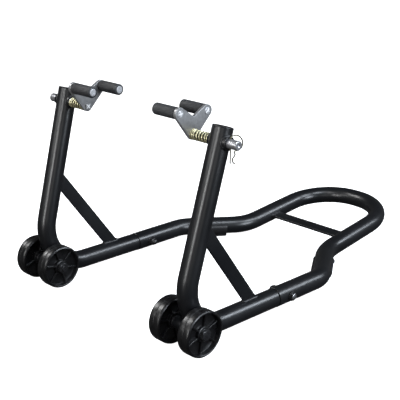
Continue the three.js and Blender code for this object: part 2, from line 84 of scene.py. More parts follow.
TUBE_R = 0.0175
SIDE_BEND_R = 0.080
UPRIGHT_TOP = Vector((0.2008, 0.0928 + CORNER_Y, 0.3631))
SIDE_CORNER = Vector((RAIL_X, CORNER_Y, RAIL_Z))
NECK_R = 0.0157
NECK_START_Y = 0.237 + CORNER_Y       # the neck is the swaged end inside the handle
NECK_END_Y = 0.300 + CORNER_Y
CAP_THICK = 0.0016

HANDLE_R = 0.018
HANDLE_START_Y = 0.239 + CORNER_Y
S_BEND_OUTER = Vector((RAIL_X, 0.3722 + CORNER_Y, 0.0227))
S_BEND_INNER = Vector((0.1096, 0.4877 + CORNER_Y, 0.0210))
HANDLE_END = Vector((0.1026, 0.7340 + CORNER_Y, 0.0519))
HANDLE_BENDS = (0.060, 0.100, 0.100)
MOUTH_DEPTH = 0.012

BAR_THICK = 0.005
BRACE_WIDTH = 0.025
BRACE_TOP = (0.062 + CORNER_Y, 0.191)
BRACE_FOOT = (0.172 + CORNER_Y, 0.044)
CROSS_WIDTH = 0.025
CROSS_Y = 0.5635 + CORNER_Y
BAR_EDGE = 0.0009
BRACE_TOP_REACH, BRACE_FOOT_REACH = 0.008, 0.014      # how far the bars run on inside the tubes
CROSS_REACH = 0.006

# radii of the weld beads
BRACE_TOP_WELD, BRACE_FOOT_WELD = 0.0017, 0.0029
SLEEVE_INNER_WELD, SLEEVE_OUTER_WELD = 0.0010, 0.0019
CROSS_WELD = 0.0014

JOINT_THREAD_R, JOINT_PITCH = 0.004, 0.00125
JOINT_ACROSS_FLATS = 0.013
JOINT_HEAD_HEIGHT = 0.0053
JOINT_CROWN_BASE = 0.003
JOINT_DOME_R = 0.0061
JOINT_FLANGE_R, JOINT_FLANGE_THICK = 0.0078, 0.0011
JOINT_HEX_HEIGHT = 0.0036
JOINT_BORE_R = 0.0041
JOINT_NUT_HEX_HEIGHT = 0.007

FOOT_START, FOOT_LENGTH = 0.028, 0.068
FOOT_R = 0.0206
FOOT_LIP = math.radians(15)
FOOT_SOLE = 0.026

WHEEL_R = 0.040
HALF_WHEEL = half_size("wheel_outer_right").x
HUB_R = 0.013
HUB_RECESS = 0.0026
WEB_HALF = 0.0035
WHEEL_CLEARANCE = 0.00035
RIB_COUNT = 6
AXLE_R = 0.006
AXLE_ACROSS_FLATS = 0.018
AXLE_HEAD_HEIGHT = 0.0062
AXLE_FLANGE_R, AXLE_FLANGE_THICK = 0.0105, 0.0012
AXLE_THREAD_LENGTH, AXLE_PITCH = 0.018, 0.00175

SLEEVE_R = half_size("stem_sleeve_right").z
BORE_ROOM = 0.016                     # straight tube kept above and below the sleeve's bore
BORE_REACH = 0.030
BORE_OVERLAP = 0.0004                 # how far the sleeve sinks into the bore's wall

STEM_R = half_size("stem_right").z
STEM_NECK_R = 0.0064                  # inside the spring and through the plate
SHOULDER_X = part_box("stem_sleeve_right")[0].x + 0.0005    # where the stem steps up to full size
STEM_CHAMFER = 0.0012
SPRING_R = 0.00795
SPRING_WIRE_R = 0.0012
SPRING_TURNS = 7
CLIP_WIRE_R = 0.0011

PLATE_TILT = math.radians(3)
PEG_REACH = 0.0463
PEG_SPREAD = math.radians(40.1)
PEG_TIP_R = 0.0102
PLATE_FOOT_R = 0.0095
NOTCH_Z = 0.0285

PIN_R = 0.0065
PIN_SHANK_R = 0.004
PIN_STAKE_R = 0.0058
STAKE_DEPTH = 0.0006                  # how far a staked end reaches into the plate
STEM_STAKE_PROUD = 0.0003
STEM_MARK_REACH, STEM_MARK_TURN = 0.0061, 0.75
PIN_MARK_REACH, PIN_MARK_TURNS = 0.0048, {"front": 0.15, "rear": 0.85}
RUBBER_R = 0.010
RUBBER_RIBS, RUBBER_RIB_DEPTH = 24, 0.00045
RUBBER_RIM_R = 0.0021

# ---------------------------------------------------------------- mesh helpers

SHARP_DEGREES = 38
SHARP_WELD_DEGREES = 60


def new_object(name, vertices, faces, material, sharp_degrees=SHARP_DEGREES):
    """A mesh object in the shared frame, smooth except at edges sharper than sharp_degrees."""
    mesh = bpy.data.meshes.new(name)
    mesh.from_pydata([tuple(v) for v in vertices], [], faces)
    mesh.materials.append(material)
    mesh.polygons.foreach_set("use_smooth", [True] * len(mesh.polygons))
    mesh.set_sharp_from_angle(angle=math.radians(sharp_degrees))
    mesh.update()
    obj = bpy.data.objects.new(name, mesh)
    bpy.context.scene.collection.objects.link(obj)
    return obj


def facing_out(vertices, faces):
    """A closed shape with its faces turned to point outward."""
    volume = 0.0
    for first, *others in faces:
        for second, third in zip(others, others[1:]):
            volume += vertices[first].dot(vertices[second].cross(vertices[third]))
    return vertices, faces if volume > 0 else [face[::-1] for face in faces]


def loft(rings, closed=False):
    """A shape that joins rings of equal length, capped at both ends unless it closes on itself."""
    size = len(rings[0])
    vertices = [point for ring in rings for point in ring]
    faces = []
    spans = len(rings) if closed else len(rings) - 1
    for i in range(spans):
        a, b = i * size, ((i + 1) % len(rings)) * size
        for k in range(size):
            m = (k + 1) % size
            faces.append((a + k, a + m, b + m, b + k))
    if not closed:
        faces.append(tuple(range(size))[::-1])
        faces.append(tuple(range(len(vertices) - size, len(vertices))))
    return facing_out(vertices, faces)


def merged(parts):
    """One vertex and face list from several."""
    vertices, faces = [], []
    for part_vertices, part_faces in parts:
        start = len(vertices)
        vertices += part_vertices
        faces += [tuple(start + i for i in face) for face in part_faces]
    return vertices, faces


def mirrored(shape, side):
    """The same shape for the stand's other side, with its faces still outward."""
    if side > 0:
        return shape
    vertices, faces = shape
    return [Vector((-v[0], v[1], v[2])) for v in vertices], [face[::-1] for face in faces]


def bent_route(corners, radii, step_degrees=4):
    """(point, tangent) stations of straight runs joined by round bends."""
    stations = [(corners[0], (corners[1] - corners[0]).normalized())]
    for before, corner, after, radius in zip(corners, corners[1:], corners[2:], radii):
        inward = (corner - before).normalized()
        outward = (after - corner).normalized()
        turn = inward.angle(outward)
        start = corner - inward * radius * math.tan(turn / 2)
        to_centre = (outward - inward * outward.dot(inward)).normalized()
        steps = max(2, round(turn / math.radians(step_degrees)))
        for k in range(steps + 1):
            angle = turn * k / steps
            point = start + inward * radius * math.sin(angle) + to_centre * radius * (1 - math.cos(angle))
            stations.append((point, inward * math.cos(angle) + to_centre * math.sin(angle)))
    stations.append((corners[-1], (corners[-1] - corners[-2]).normalized()))
    return stations


def sweep(stations, radii, sides=48):
    """A round section carried along stations without twisting. radii is one value or one per station."""
    if isinstance(radii, float):
        radii = [radii] * len(stations)
    normal = stations[0][1].orthogonal().normalized()
    previous = stations[0][1]
    rings = []
    for (point, tangent), radius in zip(stations, radii):
        normal = previous.rotation_difference(tangent) @ normal
        previous = tangent
        binormal = tangent.cross(normal)
        ring = []
        for k in range(sides):
            angle = 2 * math.pi * k / sides
            ring.append(point + (normal * math.cos(angle) + binormal * math.sin(angle)) * radius)
        rings.append(ring)
    return loft(rings)


def quarter_turn(steps):
    """Angles from zero to a right angle."""
    return [math.pi / 2 * k / steps for k in range(steps + 1)]


def radial(angle):
    """Unit vector across the X axis, at that angle from Y towards Z."""
    return Vector((0, math.cos(angle), math.sin(angle)))


def round_corners(points, radius, steps=4):
    """A closed 2-D outline with each corner turned into an arc."""
    rounded = []
    count = len(points)
    for i, corner in enumerate(points):
        corner = Vector(corner)
        to_before = Vector(points[i - 1]) - corner
        to_after = Vector(points[(i + 1) % count]) - corner
        half = to_before.angle(to_after) / 2
        if half > math.radians(88):
            rounded.append(corner)
            continue
        setback = min(radius / math.tan(half), 0.49 * to_before.length, 0.49 * to_after.length)
        arc = setback * math.tan(half)
        bisector = (to_before.normalized() + to_after.normalized()).normalized()
        middle = corner + bisector * arc / math.sin(half)
        first = corner + to_before.normalized() * setback - middle
        last = corner + to_after.normalized() * setback - middle
        sweep_angle = first.angle_signed(last)
        for k in range(steps + 1):
            rounded.append(middle + Matrix.Rotation(-sweep_angle * k / steps, 2) @ first)
    return rounded


def turned(profile, origin, axis=X_AXIS, sides=48):
    """A 2-D profile of (radius, distance along axis) turned about axis through origin."""
    across = axis.orthogonal().normalized()
    beside = axis.cross(across)
    rings = []
    for k in range(sides):
        angle = 2 * math.pi * k / sides
        outward = across * math.cos(angle) + beside * math.sin(angle)
        rings.append([origin + outward * radius + axis * along for radius, along in profile])
    return loft(rings, closed=True)


def disc_end(radius, length, chamfer):
    """Profile of a solid round bar from 0 to length with chamfered ends."""
    return round_corners([
        (POLE, 0), (radius - chamfer, 0), (radius, chamfer), (radius, length - chamfer),
        (radius - chamfer, length), (POLE, length),
    ], chamfer * 0.4, 2)


def plain_ring(node, inner, line, rounding, sides=48):
    """A plain ring along X in a CAD node's place, with a bore of radius inner about line."""
    low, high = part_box(node)
    outer = half_size(node).z
    corners = [(inner, low.x), (outer, low.x), (outer, high.x), (inner, high.x)]
    return turned(round_corners(corners, rounding, 3), Vector((0, line.y, line.z)), sides=sides)


def hexagon(across_flats, height, origin, axis, hole=POLE, both_ends=False):
    """A hexagon head or nut, chamfered like a turned one, standing from origin along axis."""
    across = axis.orthogonal().normalized()
    beside = axis.cross(across)
    flat, sides, chamfer = across_flats / 2, 72, math.radians(30)
    face = flat * 0.95
    rings = []
    for k in range(sides):
        angle = 2 * math.pi * k / sides
        outward = across * math.cos(angle) + beside * math.sin(angle)
        corner_angle = (angle + math.pi / 6) % (math.pi / 3) - math.pi / 6
        reach = flat / math.cos(corner_angle)
        drop = (reach - face) * math.tan(chamfer)
        bottom = drop if both_ends else 0.0
        profile = [
            (hole, 0), (face, 0), (reach, bottom), (reach, height - drop), (face, height), (hole, height),
        ]
        rings.append([origin + outward * radius + axis * along for radius, along in profile])
    return loft(rings, closed=True)


def threaded_rod(radius, length, pitch, origin, axis):
    """A rod with thread ridges and a chamfered end, from origin along axis."""
    depth = pitch * 0.35
    profile = [(POLE, 0), (radius - depth, 0)]
    turns = int((length - depth * 2) / pitch)
    for i in range(turns):
        profile.append((radius - depth, i * pitch + pitch * 0.1))
        profile.append((radius, i * pitch + pitch * 0.45))
        profile.append((radius, i * pitch + pitch * 0.65))
    profile += [(radius - depth, turns * pitch), (radius - depth, length - depth)]
    profile += [(radius - 2 * depth, length), (POLE, length)]
    return turned(profile, origin, axis)


# ---------------------------------------------------------------- welds


def cylinder_hit(origin, direction, axis_point, axis, radius):
    """Where a ray first meets an endless cylinder."""
    offset = origin - axis_point
    d = direction - axis * direction.dot(axis)
    o = offset - axis * offset.dot(axis)
    a, b, c = d.dot(d), 2 * d.dot(o), o.dot(o) - radius * radius
    root = math.sqrt(max(b * b - 4 * a * c, 0))
    return origin + direction * ((-b - root) / (2 * a))


def weld_bead(outline, direction, axis_point, axis, radius, bead):
    """A laid bead, with soft scallops, where a bar of that outline runs into a round tube."""
    path = [cylinder_hit(point, direction, axis_point, axis, radius) for point in outline]
    count, sides = len(path), 10
    middle = sum(path, Vector()) / count
    scallop_length, drift_length = 0.0031, 0.0047
    travelled = 0.0
    rings = []
    for i, point in enumerate(path):
        ahead, behind = path[(i + 1) % count], path[i - 1]
        travelled += (point - behind).length if i else 0
        tangent = (ahead - behind).normalized()
        outward = point - middle
        outward = (outward - tangent * outward.dot(tangent)).normalized()
        beside = tangent.cross(outward)
        scallop = abs(math.sin(math.pi * travelled / scallop_length)) ** 0.5
        width = bead * (0.93 + 0.07 * scallop + 0.06 * math.sin(travelled / drift_length))
        section = []
        for k in range(sides):
            angle = 2 * math.pi * k / sides
            section.append(point + (outward * math.cos(angle) + beside * math.sin(angle)) * width)
        rings.append(section)
    return loft(rings, closed=True)


def dense(outline, spacing=0.0006):
    """The closed outline again with points no further apart than spacing."""
    points = []
    for i, point in enumerate(outline):
        after = outline[(i + 1) % len(outline)]
        steps = max(1, math.ceil((after - point).length / spacing))
        points += [point.lerp(after, k / steps) for k in range(steps)]
    return points


# ---------------------------------------------------------------- materials


def shader(name, colour, roughness, metallic=0.0):
    """A Principled material with its node tree, links and shader."""
    material = bpy.data.materials.new(name)
    material.use_nodes = True
    nodes, links = material.node_tree.nodes, material.node_tree.links
    principled = nodes["Principled BSDF"]
    principled.inputs["Base Color"].default_value = (*colour, 1)
    principled.inputs["Roughness"].default_value = roughness
    principled.inputs["Metallic"].default_value = metallic
    return material, nodes, links, principled


def noise_texture(nodes, links, scale, detail=3.0, stretch=(1, 1, 1)):
    """Noise in the shared frame, scale in cycles per metre."""
    place = nodes.new("ShaderNodeTexCoord")
    mapping = nodes.new("ShaderNodeMapping")
    mapping.inputs["Scale"].default_value = stretch
    noise = nodes.new("ShaderNodeTexNoise")
    noise.inputs["Scale"].default_value = scale
    noise.inputs["Detail"].default_value = detail
    links.new(place.outputs["Object"], mapping.inputs["Vector"])
    links.new(mapping.outputs["Vector"], noise.inputs["Vector"])
    return noise


def ramp(nodes, links, source, stops):
    """A colour ramp driven by source. stops are (position, colour)."""
    node = nodes.new("ShaderNodeValToRGB")
    elements = node.color_ramp.elements
    while len(elements) < len(stops):
        elements.new(0.5)
    for element, (position, colour) in zip(elements, stops):
        element.position = position
        element.color = (*colour, 1)
    links.new(source, node.inputs["Fac"])
    return node


def tint(nodes, links, principled, source, *stops):
    """Base colour from a ramp over noise. stops are (position, colour)."""
    tone = ramp(nodes, links, source.outputs["Fac"], stops)
    links.new(tone.outputs["Color"], principled.inputs["Base Color"])


def vary_roughness(nodes, links, principled, source, low, high):
    """Roughness that follows noise between low and high."""
    node = nodes.new("ShaderNodeMapRange")
    node.inputs["From Min"].default_value = 0.3
    node.inputs["From Max"].default_value = 0.7
    node.inputs["To Min"].default_value = low
    node.inputs["To Max"].default_value = high
    links.new(source.outputs["Fac"], node.inputs["Value"])
    links.new(node.outputs["Result"], principled.inputs["Roughness"])


def bump(nodes, links, principled, source, strength, distance):
    node = nodes.new("ShaderNodeBump")
    node.inputs["Strength"].default_value = strength
    node.inputs["Distance"].default_value = distance
    links.new(source.outputs["Fac"], node.inputs["Height"])
    links.new(node.outputs["Normal"], principled.inputs["Normal"])


def powder_coat():
    """Satin black powder coat with a fine orange-peel texture."""
    material, nodes, links, principled = shader("powder_coat", (0.006, 0.0065, 0.0075), 0.31)
    broad = noise_texture(nodes, links, 14)
    tint(nodes, links, principled, broad, (0.3, (0.0045, 0.005, 0.006)), (0.7, (0.0075, 0.008, 0.0092)))
    vary_roughness(nodes, links, principled, broad, 0.28, 0.34)
    peel = noise_texture(nodes, links, 900, 2.0)
    bump(nodes, links, principled, peel, 0.25, 0.00006)
    return material


def moulded_nylon():
    """Black moulded nylon with faint flow marks and a slightly uneven gloss."""
    material, nodes, links, principled = shader("moulded_nylon", (0.004, 0.004, 0.0045), 0.3)
    flow = noise_texture(nodes, links, 60, 3.0, (3, 1, 1))
    tint(nodes, links, principled, flow, (0.3, (0.0025, 0.0025, 0.003)), (0.7, (0.006, 0.006, 0.0065)))
    vary_roughness(nodes, links, principled, flow, 0.26, 0.36)
    grain = noise_texture(nodes, links, 1400, 2.0)
    bump(nodes, links, principled, grain, 0.2, 0.00004)
    return material


def ribbed_rubber():
    """Dark grey rubber with a dry, slightly dusty surface."""
    material, nodes, links, principled = shader("ribbed_rubber", (0.018, 0.019, 0.0215), 0.55)
    dust = noise_texture(nodes, links, 160, 4.0)
    tint(nodes, links, principled, dust, (0.3, (0.014, 0.015, 0.017)), (0.75, (0.025, 0.0265, 0.030)))
    vary_roughness(nodes, links, principled, dust, 0.44, 0.58)
    grain = noise_texture(nodes, links, 2200, 2.0)
    bump(nodes, links, principled, grain, 0.3, 0.00005)
    return material


def foot_rubber():
    """Black moulded rubber, a little glossier than the peg rubbers."""
    material, nodes, links, principled = shader("foot_rubber", (0.009, 0.009, 0.010), 0.5)
    mottle = noise_texture(nodes, links, 90, 3.0)
    tint(nodes, links, principled, mottle, (0.3, (0.007, 0.007, 0.008)), (0.7, (0.014, 0.014, 0.015)))
    grain = noise_texture(nodes, links, 1600, 2.0)
    bump(nodes, links, principled, grain, 0.25, 0.00005)
    return material


def plated_steel(name, dark, light, roughness, metallic=0.6, brushed=(1, 1, 1)):
    """Zinc-plated steel: a mottled plating tone over fine brushing."""
    material, nodes, links, principled = shader(name, light, roughness, metallic)
    mottle = noise_texture(nodes, links, 220, 5.0)
    tint(nodes, links, principled, mottle, (0.25, dark), (0.75, light))
    lines = noise_texture(nodes, links, 900, 3.0, brushed)
    vary_roughness(nodes, links, principled, lines, roughness - 0.04, roughness + 0.08)
    bump(nodes, links, principled, lines, 0.08, 0.00004)
    return material


coat = powder_coat()
nylon = moulded_nylon()
rubber = ribbed_rubber()
foot_black = foot_rubber()
zinc_plate = plated_steel("zinc_plate", (0.25, 0.252, 0.258), (0.36, 0.362, 0.37), 0.32)
zinc_pin = plated_steel("zinc_pin", (0.50, 0.51, 0.53), (0.68, 0.69, 0.72), 0.28)
zinc_stem = plated_steel("zinc_stem", (0.34, 0.345, 0.36), (0.50, 0.505, 0.53), 0.30, 0.8, (8, 1, 1))
bright_zinc = plated_steel("bright_zinc", (0.84, 0.85, 0.86), (0.92, 0.93, 0.94), 0.30, 0.3)
# dark brownish steel for the stem's neck: painted shade for the gaps between the spring's coils
painted_shade_steel = plated_steel("painted_shade_steel", (0.030, 0.028, 0.022), (0.060, 0.056, 0.044), 0.35, 0.7)
yellow_zinc = plated_steel("yellow_zinc", (0.56, 0.51, 0.28), (0.92, 0.87, 0.60), 0.24, 0.7)
clip_wire = plated_steel("clip_wire", (0.09, 0.085, 0.055), (0.19, 0.18, 0.12), 0.38, 0.6)
black_oxide = plated_steel("black_oxide", (0.012, 0.012, 0.013), (0.030, 0.030, 0.032), 0.24, 0.4)
# lighter steel for the joint bolt's dome: painted highlight
painted_highlight_steel = plated_steel("painted_highlight_steel", (0.22, 0.22, 0.23), (0.36, 0.36, 0.37), 0.22, 0.85)


def place(name, shape, material, body, slot, *nodes, sharp_degrees=SHARP_DEGREES):
    """A piece that rides on a CAD body and stands for its CAD nodes."""
    piece = new_object(name, *shape, material, sharp_degrees)
    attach(piece, body)
    if nodes:
        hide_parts(*nodes)
    return piece


# ---------------------------------------------------------------- side frames

UPRIGHT_AXIS = (UPRIGHT_TOP - SIDE_CORNER).normalized()
RAIL_AXIS = Vector((0, 1, 0))


def bored(shape, tool):
    """The shape with another closed shape cut out of it."""
    body, cutter = new_object("body", *shape, coat), new_object("cutter", *tool, coat)
    body.modifiers.new("bore", "BOOLEAN").object = cutter
    mesh = bpy.data.meshes.new_from_object(body.evaluated_get(bpy.context.evaluated_depsgraph_get()))
    result = [v.co.copy() for v in mesh.vertices], [tuple(face.vertices) for face in mesh.polygons]
    for obj in (body, cutter):
        bpy.data.objects.remove(obj)
    bpy.data.meshes.remove(mesh)
    return result


def side_tube():
    """Upright, bend and rail, swaged where it enters the handle and bored for the stem's sleeve."""
    top = UPRIGHT_TOP - UPRIGHT_AXIS * CAP_THICK
    end = Vector((RAIL_X, NECK_END_Y, RAIL_Z))
    stations = bent_route([top, SIDE_CORNER, end], [SIDE_BEND_R])
    stations.insert(1, (top - UPRIGHT_AXIS * SOFT_EDGE, -UPRIGHT_AXIS))
    crossing = UPRIGHT_TOP + UPRIGHT_AXIS * ((STEM.z - UPRIGHT_TOP.z) / UPRIGHT_AXIS.z)
    for index, way in ((2, 1), (3, -1)):
        stations.insert(index, (crossing + UPRIGHT_AXIS * (way * BORE_ROOM), -UPRIGHT_AXIS))
    radii = [TUBE_R - SOFT_EDGE] + [TUBE_R] * (len(stations) - 1)
    for step, radius in ((-0.0006, TUBE_R), (0, TUBE_R - 0.0006), (0.0012, NECK_R)):
        stations.insert(-1, (Vector((RAIL_X, NECK_START_Y + step, RAIL_Z)), RAIL_AXIS))
        radii.insert(-1, radius)
    radii[-1] = NECK_R
    middle = Vector((crossing.x, STEM.y, STEM.z))
    ends = [(middle + X_AXIS * reach, X_AXIS) for reach in (-BORE_REACH, BORE_REACH)]
    return bored(sweep(stations, radii), sweep(ends, SLEEVE_R - BORE_OVERLAP))


def tube_cap():
    """Moulded plug: a flat flange with a rounded rim and a shallow dished middle."""
    dish, spigot_r, spigot_end = 0.0004, TUBE_R - 0.0025, -0.010
    profile = round_corners([
        (POLE, -dish), (TUBE_R - 0.0048, -dish), (TUBE_R - 0.0034, 0), (TUBE_R - 0.0004, 0),
        (TUBE_R - 0.0001, -CAP_THICK), (spigot_r, -CAP_THICK - 0.0006), (spigot_r, spigot_end),
        (POLE, spigot_end),
    ], 0.0005)
    return turned(profile, UPRIGHT_TOP, UPRIGHT_AXIS)


def bar_outline(point, across, normal, width):
    """Rounded rectangular section of a flat bar, as points in space."""
    w, t = width / 2, BAR_THICK / 2
    corners = round_corners([(-w, -t), (w, -t), (w, t), (-w, t)], BAR_EDGE)
    return [point + across * u + normal * v for u, v in corners]


def flat_bar(start, end, across, width):
    normal = (end - start).normalized().cross(across)
    return loft([bar_outline(point, across, normal, width) for point in (start, end)])


def brace_line():
    """The brace's top and foot in the leaning side frame, and the ways it runs and is wide."""
    lean = UPRIGHT_AXIS.x / UPRIGHT_AXIS.z
    top, foot = [Vector((RAIL_X + (z - RAIL_Z) * lean, y, z)) for y, z in (BRACE_TOP, BRACE_FOOT)]
    along = (foot - top).normalized()
    return top, foot, along, X_AXIS.cross(along).normalized()


def brace():
    top, foot, along, across = brace_line()
    return flat_bar(top - along * BRACE_TOP_REACH, foot + along * BRACE_FOOT_REACH, across, BRACE_WIDTH)


def brace_welds():
    top, foot, along, across = brace_line()
    middle = (top + foot) / 2
    outline = dense(bar_outline(middle, across, along.cross(across), BRACE_WIDTH))
    return merged([
        weld_bead(outline, -along, SIDE_CORNER, UPRIGHT_AXIS, TUBE_R, BRACE_TOP_WELD),
        weld_bead(outline, along, SIDE_CORNER, RAIL_AXIS, TUBE_R, BRACE_FOOT_WELD),
    ])


def stem_sleeve():
    return plain_ring("stem_sleeve_right", STEM_R + CLEARANCE, STEM, 0.0007)


def sleeve_welds():
    """Beads round the sleeve on both sides of the upright, found from well clear of the tube."""
    count, clear_of_tube = 110, 0.07
    beads = []
    for way, bead in ((1, SLEEVE_INNER_WELD), (-1, SLEEVE_OUTER_WELD)):
        middle = Vector((RAIL_X - way * clear_of_tube, STEM.y, STEM.z))
        outline = [middle + radial(2 * math.pi * k / count) * SLEEVE_R for k in range(count)]
        beads.append(weld_bead(outline, X_AXIS * way, SIDE_CORNER, UPRIGHT_AXIS, TUBE_R, bead))
    return merged(beads)


def axle_boss():
    return plain_ring("axle_boss_right", AXLE_R + CLEARANCE, AXLE, 0.0007)


# ---------------------------------------------------------------- handle


def handle_corners():
    right = [Vector((RAIL_X, HANDLE_START_Y, RAIL_Z)), S_BEND_OUTER, S_BEND_INNER, HANDLE_END]
    return right + [Vector((-p.x, p.y, p.z)) for p in reversed(right)]


def handle_tube():
    """The whole handle in one bent tube whose open ends turn in over the rails."""
    route = bent_route(handle_corners(), HANDLE_BENDS + HANDLE_BENDS[::-1])
    inner = HANDLE_R - TUBE_WALL
    mouth = [(MOUTH_DEPTH, inner), (0, inner), (0, HANDLE_R - SOFT_EDGE), (SOFT_EDGE, HANDLE_R)]
    front = [((Vector((RAIL_X, HANDLE_START_Y + y, RAIL_Z)), RAIL_AXIS), radius) for y, radius in mouth]
    back = [((Vector((-p.x, p.y, p.z)), -RAIL_AXIS), radius) for (p, _), radius in reversed(front)]
    full = front + [(station, HANDLE_R) for station in route[1:-1]] + back
    return sweep([station for station, _ in full], [radius for _, radius in full])


def handle_slope():
    rise = HANDLE_END - S_BEND_INNER
    return rise.z / rise.y


def cross_line():
    z = S_BEND_INNER.z + (CROSS_Y - S_BEND_INNER.y) * handle_slope()
    across = Vector((0, 1, handle_slope())).normalized()
    return Vector((0, CROSS_Y, z)), across


def cross_bar():
    middle, across = cross_line()
    reach = X_AXIS * (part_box("cross_bar")[1].x + CROSS_REACH)
    return flat_bar(middle - reach, middle + reach, across, CROSS_WIDTH)


def cross_welds():
    middle, across = cross_line()
    axis = (HANDLE_END - S_BEND_INNER).normalized()
    outline = dense(bar_outline(middle, across, X_AXIS.cross(across), CROSS_WIDTH))
    bead = weld_bead(outline, X_AXIS, S_BEND_INNER, axis, HANDLE_R, CROSS_WELD)
    return merged([bead, mirrored(bead, -1)])


# ---------------------------------------------------------------- handle joint fasteners


def joint_head():
    """Where the joint bolt's head sits on its washer."""
    return Vector((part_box("joint_bolt_right")[1].x - JOINT_HEAD_HEIGHT, JOINT.y, JOINT.z))


def joint_bolt():
    """Flanged hexagon bolt."""
    head = joint_head()
    flange = turned(disc_end(JOINT_FLANGE_R, JOINT_FLANGE_THICK, FASTENER_EDGE), head)
    hexagon_part = hexagon(JOINT_ACROSS_FLATS, JOINT_HEX_HEIGHT, head, X_AXIS)
    length = head.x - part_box("joint_bolt_right")[0].x
    thread = threaded_rod(JOINT_THREAD_R, length, JOINT_PITCH, head, -X_AXIS)
    return merged([flange, hexagon_part, thread])


def dome(base, rise):
    """Profile of the domed top of one of the joint's fasteners, from its base to its pole."""
    points = [(JOINT_DOME_R * math.cos(a), base + rise * math.sin(a)) for a in quarter_turn(9)[:-1]]
    return points + [(POLE, base + rise)]


def joint_crown():
    """The bolt head's domed top, in lighter steel than the head: a painted highlight."""
    rounded = dome(JOINT_CROWN_BASE, JOINT_HEAD_HEIGHT - JOINT_CROWN_BASE)
    return turned([(POLE, JOINT_CROWN_BASE - 0.0005)] + rounded, joint_head())


def joint_nut():
    """Cap nut: a chamfered hexagon with a collar and a dome on it."""
    low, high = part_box("joint_nut_right")
    seat, top = Vector((high.x, JOINT.y, JOINT.z)), high.x - low.x
    wall = 0.003
    profile = [(JOINT_BORE_R, 0.002), (JOINT_DOME_R, JOINT_NUT_HEX_HEIGHT - 0.0006)]
    profile += dome(top - JOINT_DOME_R, JOINT_DOME_R)
    profile += [(POLE, top - wall), (JOINT_BORE_R, top - wall - 0.001)]
    nut = hexagon(JOINT_ACROSS_FLATS, JOINT_NUT_HEX_HEIGHT, seat, -X_AXIS, JOINT_BORE_R, True)
    return merged([nut, turned(profile, seat, -X_AXIS)])


# ---------------------------------------------------------------- foot pads

FOOT_ALONG = (S_BEND_INNER - S_BEND_OUTER).normalized()
FOOT_OUT = FOOT_ALONG.cross(Vector((0, 0, 1))).normalized()
FOOT_AXIS_Z = S_BEND_OUTER.lerp(S_BEND_INNER, 0.45).z


def foot_section(inset):
    """Saddle section as (outward, up) about the tube's axis, its walls thinning to round lips."""
    bore = HANDLE_R + 0.00015
    sole_z = -FOOT_AXIS_Z + inset
    sole_half = FOOT_SOLE / 2 - inset
    corner = 0.003
    corner_u, corner_v = sole_half - corner, sole_z + corner
    right = []
    for k in range(9):
        angle = FOOT_LIP * (1 - k / 8)
        wall = (FOOT_R - bore - inset) * math.sqrt(math.sin(math.pi / 2 * k / 8))
        right.append(((bore + wall) * math.cos(angle), (bore + wall) * math.sin(angle)))
    shoulder = math.acos((sole_half + 0.001) / (FOOT_R - inset))
    for k in range(1, 9):
        angle = -shoulder * k / 8
        right.append(((FOOT_R - inset) * math.cos(angle), (FOOT_R - inset) * math.sin(angle)))
    for angle in quarter_turn(6):
        right.append((corner_u + corner * math.cos(angle), corner_v - corner * math.sin(angle)))
    left = [(-u, v) for u, v in reversed(right)]
    saddle = []
    for k in range(1, 32):
        angle = math.pi - FOOT_LIP + (math.pi + 2 * FOOT_LIP) * k / 32
        saddle.append((bore * math.cos(angle), bore * math.sin(angle)))
    return right + left + saddle


def foot_pad():
    """Moulded saddle foot with rounded ends."""
    roundness = 0.0021
    stations = [(roundness * (1 - math.cos(a)), roundness * (1 - math.sin(a))) for a in quarter_turn(5)]
    stations += [(FOOT_LENGTH - along, inset) for along, inset in reversed(stations)]
    up = FOOT_OUT.cross(FOOT_ALONG)
    rings = []
    for along, inset in stations:
        point = S_BEND_OUTER + FOOT_ALONG * (FOOT_START + along)
        drop = Vector((0, 0, FOOT_AXIS_Z - point.z))
        ring = []
        for u, v in foot_section(inset):
            spot = point + FOOT_OUT * u + up * v
            ring.append(spot + drop if v < -FOOT_AXIS_Z / 2 else spot)
        rings.append(ring)
    return loft(rings)


def foot_screw():
    """Small domed screw with a round recess."""
    sink = 0.0001
    seat = centre("foot_screw_right") - FOOT_OUT * sink
    profile = round_corners([
        (POLE, 0.0011), (0.0012, 0.0011), (0.0015, 0.0019), (0.0030, 0.0014), (0.0036, 0.0),
        (0.0020, -0.0002), (0.0020, -0.002), (POLE, -0.002),
    ], 0.0003, 3)
    return turned(profile, seat, FOOT_OUT, 32)


# ---------------------------------------------------------------- wheels and axles


def wheel_profile():
    """Rim, recessed face, web and hub with moulded radii, and a parting line on the tread."""
    bore, rim = AXLE_R + WHEEL_CLEARANCE, WHEEL_R - 0.0046
    hub = HALF_WHEEL - HUB_RECESS
    half = [
        (bore, hub), (HUB_R - 0.0016, hub), (HUB_R, hub - 0.0006), (HUB_R + 0.0006, WEB_HALF),
        (rim - 0.0012, WEB_HALF), (rim, HALF_WHEEL - 0.0006), (rim + 0.0007, HALF_WHEEL),
        (WHEEL_R - 0.0026, HALF_WHEEL), (WHEEL_R - 0.0008, HALF_WHEEL - 0.0011),
        (WHEEL_R - 0.0001, HALF_WHEEL - 0.0036), (WHEEL_R, 0.0005),
    ]
    seam = [(WHEEL_R - 0.00035, 0.0002), (WHEEL_R - 0.00035, -0.0002)]
    outline = half + seam + [(radius, -x) for radius, x in reversed(half)]
    return round_corners(outline, 0.0005, 3)


def wheel_rib(angle, way):
    """One radial rib about the hub's centre, rounded on top, on the web's face towards way."""
    inner, outer = HUB_R - 0.001, WHEEL_R - 0.0050
    foot, tall, thick = WEB_HALF - 0.001, 0.0049, 0.0017
    top = thick * 0.8
    section = round_corners([(-thick, 0), (thick, 0), (top, tall), (-top, tall)], 0.0006, 3)
    outward, beside = radial(angle), radial(angle + math.pi / 2)
    rings = []
    for reach in (inner, outer):
        rings.append([outward * reach + beside * u + X_AXIS * (way * (foot + v)) for u, v in section])
    return loft(rings)


